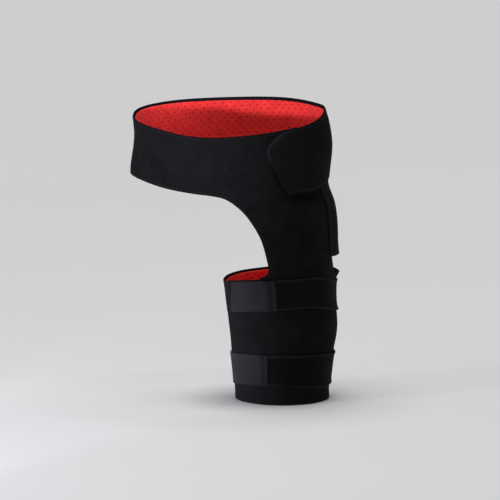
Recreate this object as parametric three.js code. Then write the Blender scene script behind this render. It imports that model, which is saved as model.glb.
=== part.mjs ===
import * as THREE from "three";

// A hip and thigh compression brace for one leg, closed and shaped as it is when worn.
// Millimetres, +Z up. The wearer's front faces -Y and the braced leg is on the +X side.
// The origin is the centre of the waist opening, half way up the belt.
// Angles run round the body in degrees: 0 is the braced side, 90 the back and -90 the front.

// The body that the cloth wraps
const waistWidth = 317;
const waistDepth = 224;
const thighWidth = 182;
const thighDepth = 174;
const thighShift = 86;
const hipDrop = 226;
const cuffHeight = 208;
const beltHeight = 96;

// The cloth and its layers
const shellThickness = 3;
const liningThickness = 1.5;
const bondGap = 0.3;
const layerGap = 1.5;
const edgeWidth = 5;

// The belt's closure, the wing that hangs behind the hip, and the thigh straps
const tipRound = 58;
const tipSlant = 40;
const tipFullest = 0.3;
const patchThickness = 1.2;
const wingDrop = 128;
const wingStandoff = 0.6;
const wingFlare = 6;
const rimFlare = 7.5;
const rimFlareDepth = 11;
const strapWidth = 52;
const strapThickness = 2;
const strapGap = 0.9;
const tabThickness = 1.6;
const tabLap = 12;
const seamGap = 0.3;

// Where the pieces begin and end round the body, in degrees
const beltSeamAngle = -190;
const groinTopAngle = -93;
const groinBottomAngle = -102;
const panelBackTopAngle = 2;
const panelBackBottomAngle = 4;
const tipFrontAngle = -69;
const tipRootAngle = -36;
const patchEndAngle = -37;
const wingFrontTopAngle = -18;
const wingFrontBottomAngle = -25;
const wingBackAngle = 63;
const cuffOuterEndAngle = -315;
const cuffInnerEndAngle = 82;
const rampStartAngle = -245;
const rampSweepAngle = 24;
const looseFullAngle = 9;
const looseEndAngle = 34;
const strapSewnAngle = 60;
const tabClimbAngle = 9;
const tabClimbEndAngle = 1.5;
const fullTurnAngle = 360;

// How finely the sheets are cut into flat faces
const stepAngle = 9;
const beltRows = 3;
const hipRows = 8;
const cuffRows = 8;
const tipColumns = 4;
const wingRows = 5;
const strapRows = 3;

// Sections of the body from the belt's rim to the hem. level: 0 is the waist, 1 the cuff's rim and
// 2 the hem. toThigh: share of the way from the waist's size and centre to the thigh's. lean: a
// further shift, as a share of thighShift. width and depth: shares of the size at that level.
const SECTIONS = [
  { level: -0.27, toThigh: 0, lean: -0.05, width: 0.955, depth: 0.98 },
  { level: 0, toThigh: 0, lean: 0, width: 1, depth: 1 },
  { level: 0.24, toThigh: 0, lean: -0.05, width: 1.003, depth: 1 },
  { level: 0.31, toThigh: 0.03, lean: -0.04, width: 0.975, depth: 1 },
  { level: 0.45, toThigh: 0.25, lean: 0, width: 0.99, depth: 1 },
  { level: 0.62, toThigh: 0.52, lean: 0, width: 0.965, depth: 1 },
  { level: 0.8, toThigh: 0.81, lean: 0, width: 0.905, depth: 1 },
  { level: 0.94, toThigh: 0.95, lean: -0.045, width: 0.94, depth: 1 },
  { level: 1.03, toThigh: 1, lean: -0.06, width: 0.98, depth: 1 },
  { level: 1.125, toThigh: 1, lean: -0.044, width: 0.964, depth: 0.995 },
  { level: 1.216, toThigh: 1, lean: -0.03, width: 0.956, depth: 0.98 },
  { level: 1.356, toThigh: 1, lean: 0.008, width: 0.945, depth: 0.965 },
  { level: 1.5, toThigh: 1, lean: 0.018, width: 0.908, depth: 0.935 },
  { level: 1.606, toThigh: 1, lean: 0.004, width: 0.879, depth: 0.91 },
  { level: 1.71, toThigh: 1, lean: -0.002, width: 0.852, depth: 0.885 },
  { level: 1.82, toThigh: 1, lean: -0.006, width: 0.824, depth: 0.86 },
  { level: 1.923, toThigh: 1, lean: -0.008, width: 0.804, depth: 0.843 },
  { level: 2, toThigh: 1, lean: 0.002, width: 0.808, depth: 0.847 },
];

// Height of the waist rim above the origin round the body, as a share of beltHeight
const WAIST_RIM = [
  { angle: -270, rise: 0.59 },
  { angle: -220, rise: 0.557 },
  { angle: -197, rise: 0.52 },
  { angle: -180, rise: 0.455 },
  { angle: -140, rise: 0.372 },
  { angle: -118, rise: 0.292 },
  { angle: -100, rise: 0.277 },
  { angle: -68, rise: 0.34 },
  { angle: -35, rise: 0.442 },
  { angle: 0, rise: 0.575 },
  { angle: 45, rise: 0.627 },
  { angle: 90, rise: 0.59 },
  { angle: 140, rise: 0.557 },
  { angle: 163, rise: 0.52 },
  { angle: 180, rise: 0.455 },
  { angle: 220, rise: 0.372 },
];

// Lower edge of the rear belt below the origin, as a share of beltHeight
const REAR_EDGE = [
  { angle: -75, fall: 0.79 },
  { angle: -50, fall: 0.83 },
  { angle: -34, fall: 0.8 },
  { angle: -18, fall: 0.715 },
  { angle: 0, fall: 0.645 },
  { angle: 60, fall: 0.58 },
  { angle: 180, fall: 0.548 },
];

// Lower edge of the front of the belt below the origin, as a share of beltHeight. Right of
// groinTopAngle it is only the line where the hip panel begins.
const FRONT_EDGE = [
  { angle: -190, fall: 0.549 },
  { angle: -160, fall: 0.57 },
  { angle: -130, fall: 0.68 },
  { angle: -112, fall: 0.74 },
  { angle: -103, fall: 0.76 },
  { angle: -97, fall: 0.79 },
  { angle: -93, fall: 0.835 },
  { angle: -84, fall: 0.85 },
  { angle: -40, fall: 0.8 },
  { angle: 2, fall: 0.65 },
];

// The groin edge of the hip panel as it is seen from the front. down: share of hipDrop below the
// origin. across: share of half the waist's width from the middle towards the braced side.
const GROIN_EDGE = [
  { down: 0.35, across: -0.045 },
  { down: 0.39, across: 0.036 },
  { down: 0.459, across: 0.142 },
  { down: 0.577, across: 0.256 },
  { down: 0.677, across: 0.325 },
  { down: 0.796, across: 0.369 },
  { down: 0.872, across: 0.393 },
  { down: 0.907, across: 0.397 },
  { down: 0.938, across: 0.378 },
];

// The cuff's rim round the thigh: its height above hipDrop, as a share of cuffHeight. Between
// groinBottomAngle and panelBackBottomAngle it is only the line where the hip panel ends.
const CUFF_RIM = [
  { angle: -315, rise: 0.005 },
  { angle: -240, rise: -0.014 },
  { angle: -205, rise: -0.024 },
  { angle: -180, rise: -0.038 },
  { angle: -150, rise: -0.006 },
  { angle: -124, rise: 0.024 },
  { angle: -112, rise: 0.034 },
  { angle: -102, rise: 0.067 },
  { angle: 4, rise: 0.06 },
  { angle: 11, rise: 0.03 },
  { angle: 22, rise: 0.028 },
  { angle: 60, rise: 0.02 },
  { angle: 82, rise: 0.01 },
];

// The thigh straps. height: their middle line below the cuff's rim at the front, and sink: how much
// lower it runs at the sides, as shares of cuffHeight. end and tabEnd: the angles where the strap
// ends under its hook tab and where the tab ends.
const STRAPS = [
  { name: "upper", height: 0.095, sink: 0.06, end: -103, tabEnd: -148 },
  { name: "lower", height: 0.72, sink: 0.04, end: -111, tabEnd: -186 },
];

const laminate = liningThickness + bondGap + shellThickness;
const ply = laminate + layerGap;
const rad = THREE.MathUtils.degToRad;
const deg = THREE.MathUtils.radToDeg;
const lerp = THREE.MathUtils.lerp;
const clamp = THREE.MathUtils.clamp;
const smooth = THREE.MathUtils.smoothstep;

// A smooth curve through a table's rows: cubic between rows, with each row's slope taken from its
// two neighbours.
function along(table, key, column, at) {
  const last = table.length - 1;
  const where = clamp(at, table[0][key], table[last][key]);
  const next = Math.max(1, table.findIndex((row) => row[key] >= where));
  const slope = (i) => {
    const before = table[Math.max(i - 1, 0)];
    const after = table[Math.min(i + 1, last)];
    return (after[column] - before[column]) / (after[key] - before[key]);
  };
  const from = table[next - 1];
  const to = table[next];
  const span = to[key] - from[key];
  const t = (where - from[key]) / span;
  const leave = t * (1 - t) * (1 - t) * span * slope(next - 1);
  const arrive = t * t * (1 - t) * span * slope(next);
  return lerp(from[column], to[column], t * t * (3 - 2 * t)) + leave - arrive;
}

// The body's section at a height: an ellipse that moves and shrinks from the waist to the thigh
function section(z) {
  const level = z > -hipDrop ? -z / hipDrop : 1 - (z + hipDrop) / cuffHeight;
  const toThigh = along(SECTIONS, "level", "toThigh", level);
  const wide = lerp(waistWidth, thighWidth, toThigh) / 2;
  const deep = lerp(waistDepth, thighDepth, toThigh) / 2;
  return {
    centre: thighShift * (toThigh + along(SECTIONS, "level", "lean", level)),
    halfWidth: wide * along(SECTIONS, "level", "width", level),
    halfDepth: deep * along(SECTIONS, "level", "depth", level),
  };
}

// A point on the body, moved out by a distance square to the section
function onBody(angle, z, out) {
  const { centre, halfWidth, halfDepth } = section(z);
  const across = Math.cos(rad(angle));
  const back = Math.sin(rad(angle));
  const normal = new THREE.Vector2(across / halfWidth, back / halfDepth).normalize();
  const x = centre + halfWidth * across + out * normal.x;
  return new THREE.Vector3(x, halfDepth * back + out * normal.y, z);
}

const waistSweep = (length) => deg(length / (waistWidth / 2));
const rearSeamAngle = fullTurnAngle + beltSeamAngle - waistSweep(seamGap);
const thighSweep = (length) => deg(length / (thighWidth / 2));
const waistRim = (angle) => beltHeight * along(WAIST_RIM, "angle", "rise", angle);
const rearEdge = (angle) => -beltHeight * along(REAR_EDGE, "angle", "fall", angle);
const frontEdge = (angle) => -beltHeight * along(FRONT_EDGE, "angle", "fall", angle);
const cuffRim = (angle) => -hipDrop + cuffHeight * along(CUFF_RIM, "angle", "rise", angle);

// Angle of the groin edge at a height
function groinEdge(z) {
  const x = (waistWidth / 2) * along(GROIN_EDGE, "down", "across", -z / hipDrop);
  const { centre, halfWidth } = section(z);
  return -deg(Math.acos((x - centre) / (halfWidth + laminate)));
}

// Columns between two angles on a lattice that all sheets share, so that their faces are parallel
function lattice(from, to) {
  const angles = [];
  for (let k = Math.ceil(from / stepAngle + 0.4); k * stepAngle < to - 0.4 * stepAngle; k++) {
    angles.push(k * stepAngle);
  }
  return angles;
}

// Even steps between two values, with a narrow border at either end that the lining leaves bare
function bordered(from, to, border, count) {
  const inner = Array.from({ length: count + 1 }, (_, i) => {
    return lerp(from + border, to - border, i / count);
  });
  return [from, ...inner, to];
}

// Joins rows of cloth points from top to bottom into a sheet of quads. A row's first is the number
// of its leftmost column; neighbouring rows are joined in the columns that both have.
function weave(rows) {
  const points = rows.flatMap((row) => row.points);
  const starts = rows.map((_, r) => rows.slice(0, r).flatMap((row) => row.points).length);
  const quads = [];
  for (let r = 0; r + 1 < rows.length; r++) {
    const [upper, lower] = [rows[r], rows[r + 1]];
    const from = Math.max(upper.first, lower.first);
    const to = Math.min(upper.first + upper.points.length, lower.first + lower.points.length) - 1;
    for (let c = from; c < to; c++) {
      const a = starts[r] + c - upper.first;
      const b = starts[r + 1] + c - lower.first;
      quads.push([a, b, b + 1, a + 1]);
    }
  }
  return { points, quads };
}

// Edges that belong to one quad only
function rimOf(quads) {
  const edges = new Map();
  for (const quad of quads) {
    quad.forEach((from, i) => edges.set(from + " " + quad[(i + 1) % 4], [from, quad[(i + 1) % 4]]));
  }
  return [...edges.values()].filter(([from, to]) => !edges.has(to + " " + from));
}

// The sheet without its border, between two angles. It runs on to the belt's seam.
function innerPart({ points, quads }, from = -Infinity, to = Infinity) {
  const sewn = (n) => points[n].angle === beltSeamAngle || points[n].angle === rearSeamAngle;
  const rim = new Set(rimOf(quads).filter((edge) => !edge.every(sewn)).flat());
  const kept = (n) => !rim.has(n) && points[n].angle >= from && points[n].angle <= to;
  return { points, quads: quads.filter((quad) => quad.every(kept)) };
}

// Closed solid of a sheet. lift(angle, z) raises the cloth off the body, and the solid fills from
// inner to outer above that.
function thicken({ points, quads }, lift, inner, outer) {
  const used = [...new Set(quads.flat())];
  const vertex = new Map(used.map((n, i) => [n, 2 * i]));
  const positions = used.flatMap((n) => {
    const { angle, z } = points[n];
    const raised = lift(angle, z);
    return [...onBody(angle, z, raised + outer), ...onBody(angle, z, raised + inner)];
  });
  const index = [];
  const addQuad = (a, b, c, d) => index.push(a, b, c, a, c, d);
  for (const quad of quads) {
    const [a, b, c, d] = quad.map((n) => vertex.get(n));
    addQuad(a, b, c, d);
    addQuad(a + 1, d + 1, c + 1, b + 1);
  }
  for (const [from, to] of rimOf(quads)) {
    const [a, b] = [vertex.get(from), vertex.get(to)];
    addQuad(b, a, a + 1, b + 1);
  }
  const geometry = new THREE.BufferGeometry();
  geometry.setAttribute("position", new THREE.Float32BufferAttribute(positions, 3));
  geometry.setIndex(index);
  geometry.computeVertexNormals();
  return geometry;
}

// Columns of the hip panel at a share of the way down it. They follow the groin edge on the left
// and the panel's back edge on the right.
function hipColumns(down) {
  const z = lerp(frontEdge(groinTopAngle), cuffRim(groinBottomAngle), down);
  const border = lerp(waistSweep(edgeWidth), thighSweep(edgeWidth), down);
  const left = groinEdge(z);
  const right = lerp(panelBackTopAngle, panelBackBottomAngle, down);
  const middle = lattice(groinTopAngle + stepAngle, panelBackBottomAngle - stepAngle);
  const joinLeft = lerp(left + border, middle[0], 0.5);
  const joinRight = lerp(middle.at(-1), right - border, 0.5);
  return [left, left + border, joinLeft, ...middle, joinRight, right - border, right];
}

// The main panel's cut: the front of the belt, the hip panel below it and the thigh cuff, which
// wraps the leg and laps over itself at the back
function mainSheet() {
  const hip = hipColumns(0);
  const beltStart = beltSeamAngle + waistSweep(edgeWidth);
  const beltLeft = [beltSeamAngle, beltStart, ...lattice(beltStart, hip[0])];
  const rows = bordered(0, 1, edgeWidth / beltHeight, beltRows).map((share) => {
    const points = [...beltLeft, ...hip].map((angle) => {
      return { angle, z: lerp(waistRim(angle), frontEdge(angle), share) };
    });
    return { first: -beltLeft.length, points };
  });

  const shareDown = (angle, z) => (z - frontEdge(angle)) / (cuffRim(angle) - frontEdge(angle));
  for (let r = 1; r < hipRows; r++) {
    const angles = hipColumns(r / hipRows);
    const leftZ = lerp(frontEdge(groinTopAngle), cuffRim(groinBottomAngle), r / hipRows);
    const points = angles.map((angle, i) => {
      const away = smooth(i / angles.length, 0, 0.5);
      const down = lerp(shareDown(angles[0], leftZ), r / hipRows, away);
      return { angle, z: lerp(frontEdge(angle), cuffRim(angle), down) };
    });
    rows.push({ first: 0, points });
  }

  const low = hipColumns(1);
  const leftEnd = cuffOuterEndAngle + thighSweep(edgeWidth);
  const rightEnd = cuffInnerEndAngle - thighSweep(edgeWidth);
  const cuffLeft = [cuffOuterEndAngle, leftEnd, ...lattice(leftEnd, low[0])];
  const cuffRight = [...lattice(low.at(-1), rightEnd), rightEnd, cuffInnerEndAngle];
  const [rim, ...belowRim] = bordered(rimFlareDepth / cuffHeight, 1, edgeWidth / cuffHeight, cuffRows);
  for (const share of [0, edgeWidth / cuffHeight, rim, ...belowRim.slice(1)]) {
    const points = [...cuffLeft, ...low, ...cuffRight].map((angle) => {
      return { angle, z: lerp(cuffRim(angle), -hipDrop - cuffHeight, share) };
    });
    rows.push({ first: -cuffLeft.length, points });
  }
  return weave(rows);
}

// The main panel lies on the body, apart from the cuff's outer end, which climbs onto its inner
// end, and a loose bit of rim behind the hip that stands away from the leg
function mainLift(angle, z) {
  const onCuff = z < -hipDrop * 0.8;
  const overlap = onCuff ? ply * smooth(-angle, -rampStartAngle, rampSweepAngle - rampStartAngle) : 0;
  const depth = onCuff ? clamp(1 - (cuffRim(angle) - z) / rimFlareDepth, 0, 1) : 0;
  const begun = smooth(angle, panelBackBottomAngle, looseFullAngle);
  const over = smooth(angle, looseEndAngle / 2, looseEndAngle);
  return overlap + rimFlare * smooth(depth, 0, 0.8) * begun * (1 - over);
}

// How far the belt's tip draws back from its foremost point, at a share of the way down it
function tipRecess(down) {
  if (down < tipFullest) {
    const up = 1 - down / tipFullest;
    return tipRound * (1 - Math.sqrt(1 - up * up));
  }
  return tipSlant * Math.pow((down - tipFullest) / (1 - tipFullest), 1.2);
}

// The rear belt, from its rounded tip over the hip panel and round the back to the seam
function rearSheet() {
  const border = waistSweep(edgeWidth);
  const seamStart = rearSeamAngle - border;
  const fixed = [patchEndAngle, tipRootAngle, ...lattice(tipRootAngle, seamStart), seamStart, rearSeamAngle];
  const shares = Array.from({ length: tipColumns }, (_, i) => i / tipColumns);
  const rows = bordered(0, 1, edgeWidth / beltHeight, 6).map((down) => {
    const front = tipFrontAngle + waistSweep(tipRecess(down));
    const tip = shares.map((share) => lerp(front + border, patchEndAngle, share));
    const points = [front, ...tip, ...fixed].map((angle) => {
      return { angle, z: lerp(waistRim(angle), rearEdge(angle), down) };
    });
    return { first: 0, points };
  });
  return weave(rows);
}

// The rear belt climbs onto the main panel where it closes, and meets it edge to edge at the seam
function rearLift(angle) {
  return ply * (1 - smooth(angle, panelBackTopAngle + stepAngle, panelBackTopAngle + rampSweepAngle));
}

// The wing is sewn along the rear belt's lower edge and hangs outside the hip panel. It hugs the
// panel along its front edge, and stands off behind that towards its lower edge.
function wingSheet() {
  const border = waistSweep(edgeWidth);
  const middle = lattice(wingFrontTopAngle + border, wingBackAngle - border);
  const low = rearEdge(0) - wingDrop;
  const rows = bordered(0, 1, edgeWidth / wingDrop, wingRows).map((down) => {
    const front = lerp(wingFrontTopAngle, wingFrontBottomAngle, down);
    const angles = [front, front + border, ...middle, wingBackAngle - border, wingBackAngle];
    const points = angles.map((angle) => {
      return { angle, z: lerp(rearEdge(angle) - seamGap, low, down) };
    });
    return { first: 0, points };
  });
  return weave(rows);
}

function wingLift(angle, z) {
  const down = clamp((rearEdge(angle) - z) / wingDrop, 0, 1);
  const flare = wingFlare * Math.pow(down, 1.5) * smooth(angle, wingFrontBottomAngle, 0);
  return rearLift(angle) + wingStandoff + flare;
}

// A band of elastic round the thigh, which sinks from the front to the sides
function bandSheet(angles, { height, sink }) {
  const rows = Array.from({ length: strapRows + 1 }, (_, r) => {
    const points = angles.map((angle) => {
      const forward = Math.min(0, Math.sin(rad(angle)));
      const middle = -hipDrop - cuffHeight * (height + sink * (1 - forward * forward));
      return { angle, z: middle + strapWidth * (0.5 - r / strapRows) };
    });
    return { first: 0, points };
  });
  return weave(rows);
}

// A strap lies on the cuff, and climbs onto the cuff's outer end, where it is sewn
function strapLift(angle) {
  const end = fullTurnAngle + cuffOuterEndAngle;
  return laminate + strapGap + ply * smooth(angle, end - rampSweepAngle, end);
}

// A tab lies on the cuff, and climbs onto the end of its strap
function tabLift(angle, end) {
  const climb = smooth(angle, end - tabClimbAngle, end - tabClimbEndAngle);
  return laminate + strapGap + (strapThickness + bondGap) * climb;
}

const materialOf = (color, roughness) => new THREE.MeshStandardMaterial({ color, roughness });
const neoprene = materialOf(0x1b1b1f, 0.9);
const perforated = materialOf(0xe0242b, 0.8);
const elastic = materialOf(0x141416, 0.75);
const hookBacking = materialOf(0x37373d, 0.6);
const hooks = materialOf(0x101012, 0.7);

const brace = new THREE.Group();

function add(name, material, sheet, lift, inner, outer) {
  const mesh = new THREE.Mesh(thicken(sheet, lift, inner, outer), material);
  mesh.name = name;
  brace.add(mesh);
}

const shellInside = liningThickness + bondGap;

const main = mainSheet();
add("main_panel", neoprene, main, mainLift, shellInside, laminate);
add("main_panel_lining", perforated, innerPart(main), mainLift, 0, liningThickness);

const rear = rearSheet();
add("rear_belt", neoprene, rear, rearLift, shellInside, laminate);
add("rear_belt_lining", perforated, innerPart(rear, tipRootAngle), rearLift, 0, liningThickness);
add("belt_hook_patch", hooks, innerPart(rear, -180, patchEndAngle), rearLift, 0, patchThickness);

const wing = wingSheet();
add("rear_wing", neoprene, wing, wingLift, shellInside, laminate);
add("rear_wing_lining", perforated, innerPart(wing), wingLift, 0, liningThickness);

for (const strap of STRAPS) {
  const tabStart = strap.end + thighSweep(tabLap);
  const climb = [strap.end - tabClimbAngle, strap.end - tabClimbEndAngle];
  const band = bandSheet([strap.end, ...lattice(strap.end, strapSewnAngle), strapSewnAngle], strap);
  const tab = bandSheet([strap.tabEnd, ...lattice(strap.tabEnd, climb[0]), ...climb, tabStart], strap);
  const onStrap = (angle) => tabLift(angle, strap.end);
  add(strap.name + "_strap", elastic, band, strapLift, 0, strapThickness);
  add(strap.name + "_hook_tab", hookBacking, tab, onStrap, 0, tabThickness);
}

export default brace;
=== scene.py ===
"""Looks of a hip and thigh compression brace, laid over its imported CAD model.

Lengths are in millimetres until a mesh is made. Angles run round the body in degrees: 0 is the
braced side (+X), 90 the back (+Y) and -90 the wearer's front (-Y)."""

import bpy
import numpy as np
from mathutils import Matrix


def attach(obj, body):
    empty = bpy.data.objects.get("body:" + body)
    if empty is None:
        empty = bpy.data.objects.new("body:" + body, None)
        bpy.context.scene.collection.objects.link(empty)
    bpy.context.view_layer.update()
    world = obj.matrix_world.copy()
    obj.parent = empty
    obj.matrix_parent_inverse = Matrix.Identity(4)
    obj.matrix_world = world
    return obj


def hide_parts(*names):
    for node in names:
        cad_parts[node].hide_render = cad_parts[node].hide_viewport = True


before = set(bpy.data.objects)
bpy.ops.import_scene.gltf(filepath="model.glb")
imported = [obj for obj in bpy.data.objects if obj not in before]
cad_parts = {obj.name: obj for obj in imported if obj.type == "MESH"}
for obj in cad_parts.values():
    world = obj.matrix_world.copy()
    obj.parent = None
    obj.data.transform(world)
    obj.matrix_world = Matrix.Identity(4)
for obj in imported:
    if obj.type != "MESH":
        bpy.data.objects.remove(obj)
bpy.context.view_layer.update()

MM = 0.001

# The body that the cloth wraps
WAIST_WIDTH = 317
WAIST_DEPTH = 224
THIGH_WIDTH = 182
THIGH_DEPTH = 174
THIGH_SHIFT = 86
HIP_DROP = 226
CUFF_HEIGHT = 208
BELT_HEIGHT = 96

# The cloth and its layers
SHELL = 3.0
LINING = 1.5
BOND_GAP = 0.3
LAYER_GAP = 1.5
SHELL_INSIDE = LINING + BOND_GAP
LAMINATE = SHELL_INSIDE + SHELL
PLY = LAMINATE + LAYER_GAP

# The belt's closure, the wing, and the straps
TIP_ROUND = 58
TIP_SLANT = 40
TIP_FULLEST = 0.3
TIP_CURVE = 1.2
CORNER_DIP = 7
WING_DROP = 128
WING_STANDOFF = 0.6
WING_SEAM = 0.7
WING_FLARE = 6
WING_FLARE_CURVE = 1.5
WING_PRESSED = 3.6
WING_THINNED = 2.6
RIM_FLARE = 7.5
RIM_FLARE_DEPTH = 11
RIM_FLARE_FULL = 0.8
STRAP_WIDTH = 52
STRAP_THICKNESS = 2.0
STRAP_GAP = 0.9
TAB_THICKNESS = 1.6
PATCH_THICKNESS = 1.2

# Where the pieces begin and end round the body
BELT_SEAM = -190
GROIN_TOP = -93
GROIN_BOTTOM = -102
PANEL_BACK_TOP = 2
PANEL_BACK_BOTTOM = 4
TIP_FRONT = -69
TIP_ROOT = -36
PATCH_END = -37.5
WING_FRONT_TOP = -18
WING_FRONT_BOTTOM = -17
WING_BACK = 63
CUFF_OUTER_END = -315
CUFF_INNER_END = 82
RAMP_START = -245
RAMP_SWEEP = 24
STRAP_SEWN = 60
TAB_CLIMB = 9
TAB_CLIMB_END = 1.5
LOOSE_FULL = 9
LOOSE_END = 34
COLUMN_STEP = 9

# The height below which the cuff's own rules hold
CUFF_START = -HIP_DROP * 0.8

# The round of lining on the rolled rim: its place, drop below the rim, size and standing
TURNED_ANGLE = 6.3
TURNED_HALF_ANGLE = 1.6
TURNED_DROP = 6.5
TURNED_RADIUS = 2.8
TURNED_SUNK = 0.4
TURNED_PROUD = 0.7

# How the cloth gives: the waist rim leans out at the back, the belt's unbraced end bulges, the
# cuff is slack, and the tip is pressed down along its lower front edge and thinned there. The
# calms are the shares that a sewn edge loses at the wing's front and at the waist rim
RIM_LEAN = 3.2
RIM_LEAN_DEPTH = 25
RIM_LEAN_CURVE = 1.3
END_BULGE = 2.4
END_BULGE_CURVE = 8
SLACK = 0.8
SLACK_MIDDLE = -316
SLACK_WIDTH = 17
TIP_PRESSED = 1.1
TIP_THINNED = 1.7
WING_CALM = 0.8
RIM_CALM = 0.75
SELVEDGE_DIP = 0.5

# Spans, each from where a change starts to where it is full. Round the body, in degrees (the
# lean's is in sines, and the lining's reach has its width alone):
LEAN_TURN = (-0.25, 0.25)
CORNER_DIP_TURN = (-48, -30)
TIP_FRONT_TURN = (-50, -44)
ROLL_START_TURN = (-50, -36)
ROLL_END_TURN = (-12, 5)
CUFF_REACH_TURN = (150, 180)
LINING_REACH_TURN = 20
# From the front edge of the tip or the wing backwards, in degrees:
TIP_PRESSED_BACK = (0, 7)
WING_PRESSED_BACK = (0.3, 3)
WING_THINNED_BACK = (0.5, 5)
# Up from the origin:
END_BULGE_UP = (5, 40)
TIP_HIGHLIGHT_UP = (-28, -8)
# Down from the origin:
SLACK_DOWN = (300, 335)
TIP_PRESSED_DOWN = (-8, 26)
TIP_DARK_DOWN = (14, 36)
HEM_DOWN = (400, 412)
# Up towards a rim:
CALM_TO_RIM = (-16, -9)
REACH_TO_RIM = (-25, -5)
# Inwards from a cut edge:
SELVEDGE_DIP_IN = (3.6, 8)
TIP_DARK_IN = (2.2, 4)
CORNER_DARK_IN = (1.5, 4)

# Soft waves: depth, waves round the body, height and phase of a turn, and height of its fading
WAVES = (
    (0.5, 3, 31, 0.6, np.inf),
    (0.35, 7, -23, 2.1, np.inf),
    (0.3, 11, 47, -0.9, 19),
)

# Bells over the cloth: size, angle, width in degrees, height and width in millimetres. The first
# three lie at a height from the origin, the fold and its painted shadow from the rear belt's lower
# edge, and the roll from the cuff's rim
RIDGE = (1.8, -44, 20, -99, 8)
BELT_WAVE = (0.9, -118, 16, 13, 5)
GROIN_PULL = (1.1, -88, 6, -120, 26)
TIP_FOLD = (-3.2, -42, 15, -6, 5.5)
# The fold's shade is a painted shadow on the main panel's knit
FOLD_PAINTED_SHADOW = (-0.7, -46, 9, -4, 4)
RIM_ROLL = (6, 9.5, 7, -8.5, 6)

# Relief along an edge: size, angle, width in degrees, and reach into the cloth
TIP_OPEN = (3.0, -35, 9, 16)
TIP_LEAN = (-3.2, -2, 16, 16)

# Bells across an edge: size, distance from it, and width. The tab's are in degrees from its fold
TIP_ROLL = ((1.5, 4.5, 2.6),)
# Painted highlights on the tip's front edge and on its lower edge's roll
TIP_HIGHLIGHT = ((0.35, 1.5, 1.6),)
ROLL_HIGHLIGHT = ((0.3, 2.2, 1.6),)
# Painted light along the wing's front edge
WING_EDGE_HIGHLIGHT = ((0.45, 0, 3.6),)
SELVEDGE = ((1.5, 2.4, 1.4),)
# Painted highlight along the elastic's edges
SELVEDGE_HIGHLIGHT = ((0.75, 1.6, 1.6),)
TAB_FOLD = ((1.3, -2.3, 1.5), (-0.7, -5.7, 2))
# Painted shade where the tab dips before its fold
TAB_PAINTED_SHADE = ((0.6, -5.7, 3),)

# Painted light and shade that aren't bells: painted light all over the wing and along the hem, and
# painted shade at the tip's lower corner
WING_PAINTED_LIGHT = 0.2
HEM_PAINTED_LIGHT = 0.12
CORNER_PAINTED_SHADE = -0.5

# Level down the body (0 waist, 1 cuff rim, 2 hem), share of the way to the thigh, lean, and the
# section's width and depth as shares of the size at that level
SECTIONS = np.array([
    (-0.27, 0, -0.05, 0.955, 0.98),
    (0, 0, 0, 1, 1),
    (0.24, 0, -0.05, 1.003, 1),
    (0.31, 0.03, -0.04, 0.975, 1),
    (0.45, 0.25, 0, 0.99, 1),
    (0.62, 0.52, 0, 0.965, 1),
    (0.8, 0.81, 0, 0.905, 1),
    (0.94, 0.95, -0.045, 0.94, 1),
    (1.03, 1, -0.06, 0.98, 1),
    (1.125, 1, -0.044, 0.964, 0.995),
    (1.216, 1, -0.03, 0.956, 0.98),
    (1.356, 1, 0.008, 0.945, 0.965),
    (1.5, 1, 0.018, 0.908, 0.935),
    (1.606, 1, 0.004, 0.879, 0.91),
    (1.71, 1, -0.002, 0.852, 0.885),
    (1.82, 1, -0.006, 0.824, 0.86),
    (1.923, 1, -0.008, 0.804, 0.843),
    (2, 1, 0.002, 0.808, 0.847),
])

# Angle and height above the origin, as a share of the belt's height
WAIST_RIM = np.array([
    (-270, 0.59), (-220, 0.557), (-197, 0.52), (-180, 0.455), (-140, 0.372), (-118, 0.292),
    (-100, 0.277), (-68, 0.34), (-35, 0.442), (0, 0.575), (45, 0.627), (90, 0.59), (140, 0.557),
    (163, 0.52), (180, 0.455), (220, 0.372),
])
REAR_EDGE = np.array([
    (-75, -0.79), (-55, -0.808), (-46, -0.768), (-35, -0.733), (-20, -0.708), (0, -0.645),
    (60, -0.58), (180, -0.548),
])
FRONT_EDGE = np.array([
    (-190, -0.549), (-160, -0.57), (-130, -0.68), (-112, -0.74), (-103, -0.76), (-97, -0.79),
    (-93, -0.835), (-84, -0.85), (-40, -0.8), (2, -0.65),
])

# Drop below the origin as a share of the hip's drop, and the groin edge's place across the front
# as a share of half the waist's width
GROIN_EDGE = np.array([
    (0.35, -0.045), (0.39, 0.036), (0.459, 0.142), (0.577, 0.256), (0.677, 0.325),
    (0.796, 0.369), (0.872, 0.393), (0.907, 0.397), (0.938, 0.378),
])

# Angle and height of the cuff's rim above the hip's drop, as a share of the cuff's height
CUFF_RIM = np.array([
    (-315, 0.005), (-240, -0.014), (-205, -0.024), (-180, -0.038), (-150, -0.006), (-124, 0.024),
    (-112, 0.034), (-102, 0.067), (4, 0.06), (11, 0.03), (22, 0.028), (60, 0.02), (82, 0.01),
])

# How far each strap's upper and lower edges are drawn up, by angle
STRAP_EDGES = {
    "upper": np.array([
        (-150, 0, 1), (-108, 0, 0), (-97, 0.5, 0.5), (-85, 2.5, 2), (-75, 3.1, 3.4), (-64, 5.1, 5.6),
        (-52, 7.4, 6.8), (-37, 7.2, 5.8), (-21, 3.4, 3), (0, 0, -1), (60, 0, 0),
    ]),
    "lower": np.array([
        (-186, 2.7, 0), (-146, 4.6, 3.4), (-113, 2.6, 0.9), (-87, 1.7, 0.8), (-75, 1.8, -1.8),
        (-63, 3, -2), (-50, 4.2, -2), (-32, 4, -1.5), (0, 3.8, 0), (60, 0, 0),
    ]),
}

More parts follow.
